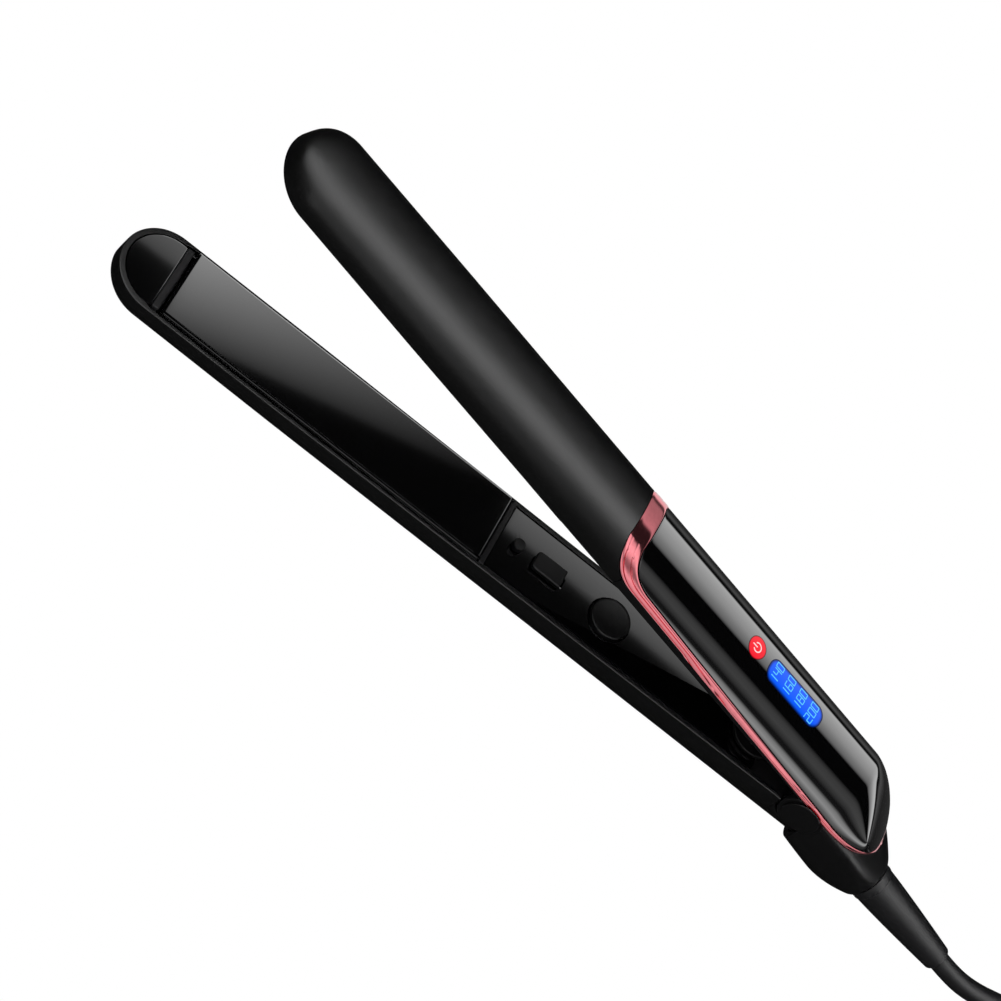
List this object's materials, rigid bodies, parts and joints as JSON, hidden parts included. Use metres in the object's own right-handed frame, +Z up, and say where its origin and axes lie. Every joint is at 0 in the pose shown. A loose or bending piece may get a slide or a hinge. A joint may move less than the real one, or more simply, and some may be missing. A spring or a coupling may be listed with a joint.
{
  "type": "flat iron",
  "caption": "Slim hair straightener with two hinged arms, floating heated plates, a slide switch, a temperature button with a lit display, and a coiled mains cord.",
  "frame": {"origin": "on the table, below the middle of the iron's bounding box without its cord", "axes": "The iron lies open on its side. +X runs along the main arm from its tip to the cord; +Y is from the lower arm towards the main arm, across the jaws; +Z is up from the table, along the hinge pin."},
  "size_m": [0.4611, 0.1103, 0.0351],
  "materials": {
    "soft_touch_black": "soft-touch matte black",
    "satin_black": "fine satin black plastic",
    "rose_gold": "polished rose-gold plating",
    "gloss_black": "polished black plastic",
    "nylon": "moulded heat-resistant nylon",
    "plate_coating": "glossy black ceramic coating on aluminium",
    "heater_ceramic": "off-white sintered ceramic",
    "aluminium": "mill-finish aluminium",
    "steel": "plain bright steel",
    "silicone": "soft silicone",
    "circuit_board": "green solder mask",
    "red_light": "lit red light window",
    "blue_light": "lit blue light window",
    "cord_rubber": "matte black rubber",
    "insulation_red": "red lead insulation",
    "insulation_blue": "blue lead insulation"
  },
  "bodies": {
    "main_arm": {"upper_outer_shell": "soft_touch_black", "upper_side_shell": "satin_black", "trim_frame": "rose_gold", "gloss_panel": "gloss_black", "upper_tip_cap": "satin_black", "upper_plate_tray": "nylon", "upper_spring_pad_front": "silicone", "upper_spring_pad_rear": "silicone", "display_carrier": "nylon", "display_board": "circuit_board", "power_light": "red_light", "level_light": "blue_light", "rear_housing": "satin_black", "hinge_pin": "steel", "pivot_cap_near": "satin_black", "pivot_cap_far": "satin_black", "upper_heater_lead_1": "insulation_red", "upper_heater_lead_2": "insulation_red", "live_lead": "insulation_red", "neutral_lead": "insulation_blue", "cord_lead": "cord_rubber", "cord_coil": "cord_rubber", "plug_body": "cord_rubber", "plug_pin_left": "steel", "plug_pin_right": "steel"},
    "upper_plate": {"upper_plate": "plate_coating", "upper_heater": "heater_ceramic", "upper_heater_clamp": "aluminium", "upper_thermal_fuse": "steel"},
    "lower_plate": {"lower_plate": "plate_coating", "lower_heater": "heater_ceramic", "lower_heater_clamp": "aluminium", "lower_thermal_fuse": "steel"},
    "switch_knob": {"slide_switch_knob": "satin_black"},
    "button": {"temperature_button": "satin_black"},
    "cord_swivel": {"swivel_ball": "nylon", "strain_relief": "cord_rubber"},
    "lower_arm": {"lower_outer_shell": "soft_touch_black", "lower_inner_cover": "gloss_black", "lower_tip_cap": "gloss_black", "lower_knuckle": "nylon", "lower_plate_tray": "nylon", "lower_spring_pad_front": "silicone", "lower_spring_pad_rear": "silicone", "control_board": "circuit_board", "slide_switch_body": "nylon", "tact_switch": "nylon", "stop_peg": "satin_black", "spring_cup": "satin_black", "opening_spring": "steel", "knuckle_screw": "steel", "board_screw_1": "steel", "board_screw_2": "steel", "lower_heater_lead_1": "insulation_red", "lower_heater_lead_2": "insulation_red"}
  },
  "joints": [
    {"name": "arm_hinge", "type": "hinge", "parent": "main_arm", "child": "lower_arm", "pos_m": [0.08942, 0.0308, 0.014], "axis": [0, 0, -1], "range_deg": [0, 17.2], "stiffness_Nm_per_rad": 0.5, "springref_deg": -28.65, "deforming": ["opening_spring"]},
    {"name": "upper_plate_float", "type": "slide", "parent": "main_arm", "child": "upper_plate", "axis": [0, 1, 0], "range_m": [0, 0.0008], "stiffness_N_per_m": 2000, "springref_m": -0.0005},
    {"name": "lower_plate_float", "type": "slide", "parent": "lower_arm", "child": "lower_plate", "axis": [0.2957, -0.9553, 0], "range_m": [0, 0.0008], "stiffness_N_per_m": 2000, "springref_m": -0.0005},
    {"name": "button_press", "type": "slide", "parent": "lower_arm", "child": "button", "axis": [0.2957, -0.9553, 0], "range_m": [0, 0.0009], "stiffness_N_per_m": 600, "springref_m": -0.001},
    {"name": "switch_slide", "type": "slide", "parent": "lower_arm", "child": "switch_knob", "axis": [0.9553, 0.2957, 0], "range_m": [0, 0.004]},
    {"name": "cord_swivel", "type": "hinge", "parent": "main_arm", "child": "cord_swivel", "pos_m": [0.12752, 0.0216, 0.014], "axis": [1, 0, 0], "continuous": true}
  ]
}
